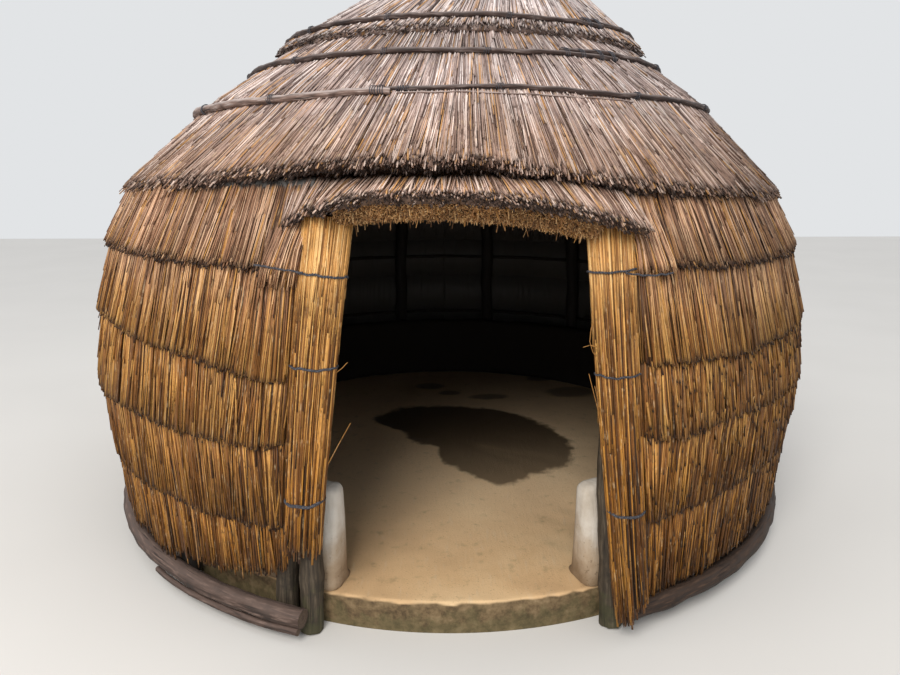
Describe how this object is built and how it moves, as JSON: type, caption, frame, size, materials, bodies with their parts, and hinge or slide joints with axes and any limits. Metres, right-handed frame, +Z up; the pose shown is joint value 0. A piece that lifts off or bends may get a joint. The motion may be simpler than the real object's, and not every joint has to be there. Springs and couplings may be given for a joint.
{
  "type": "thatched round hut",
  "caption": "Small round hut of layered reed on leaning posts, with a clay floor, a low clay wall, a low doorway under a reed canopy, and a hooped thatched roof.",
  "frame": {"origin": "on the ground, at the centre of the round floor's underside", "axes": "+Z up, the doorway faces -Y, +X to the right of someone who looks at the doorway"},
  "size_m": [3.4792, 3.4296, 2.8242],
  "materials": {
    "clay_floor": "smoothed clay floor, worn and stained",
    "clay_plaster": "pale clay plaster, matt",
    "pole_wood": "weathered round poles",
    "rafter_wood": "smoke-dark round poles",
    "sapling_bark": "thin saplings with bark",
    "tie_cord": "dark twisted cord",
    "roof_reed": "weathered thatching reed",
    "straw": "short straw",
    "golden_reed": "bundled golden reed",
    "wall_reed": "layered reed with dark butts"
  },
  "bodies": {
    "root": {"door_canopy": "roof_reed", "door_jamb_left": "golden_reed", "door_jamb_right": "golden_reed", "door_post_left": "pole_wood", "door_post_right": "pole_wood", "door_soffit": "straw", "floor_slab": "clay_floor", "ground_lath": "pole_wood", "ground_rail_left": "pole_wood", "ground_rail_right": "pole_wood", "jamb_ties_left": "tie_cord", "jamb_ties_right": "tie_cord", "low_wall_back": "clay_plaster", "low_wall_left": "clay_plaster", "low_wall_right": "clay_plaster", "rafter_hub": "rafter_wood", "rafters_left": "rafter_wood", "rafters_right": "rafter_wood", "roof_cap": "roof_reed", "roof_course_left": "roof_reed", "roof_course_right": "roof_reed", "roof_hoop_1_left": "sapling_bark", "roof_hoop_1_right": "sapling_bark", "roof_hoop_2_left": "sapling_bark", "roof_hoop_2_right": "sapling_bark", "roof_hoop_3_left": "sapling_bark", "roof_hoop_3_right": "sapling_bark", "roof_hoop_4": "sapling_bark", "roof_lath_1": "rafter_wood", "roof_lath_2": "rafter_wood", "roof_lath_3": "rafter_wood", "roof_tuft": "roof_reed", "tuft_tie": "tie_cord", "wall_course_1_left": "wall_reed", "wall_course_1_right": "wall_reed", "wall_course_2_left": "wall_reed", "wall_course_2_right": "wall_reed", "wall_course_3_left": "wall_reed", "wall_course_3_right": "wall_reed", "wall_course_4_left": "wall_reed", "wall_course_4_right": "wall_reed", "wall_course_5_left": "wall_reed", "wall_course_5_right": "wall_reed", "wall_plate": "pole_wood", "wall_posts_left": "pole_wood", "wall_posts_right": "pole_wood", "wall_rail_high": "pole_wood", "wall_rail_low": "pole_wood", "wall_rail_middle": "pole_wood"}
  },
  "joints": []
}
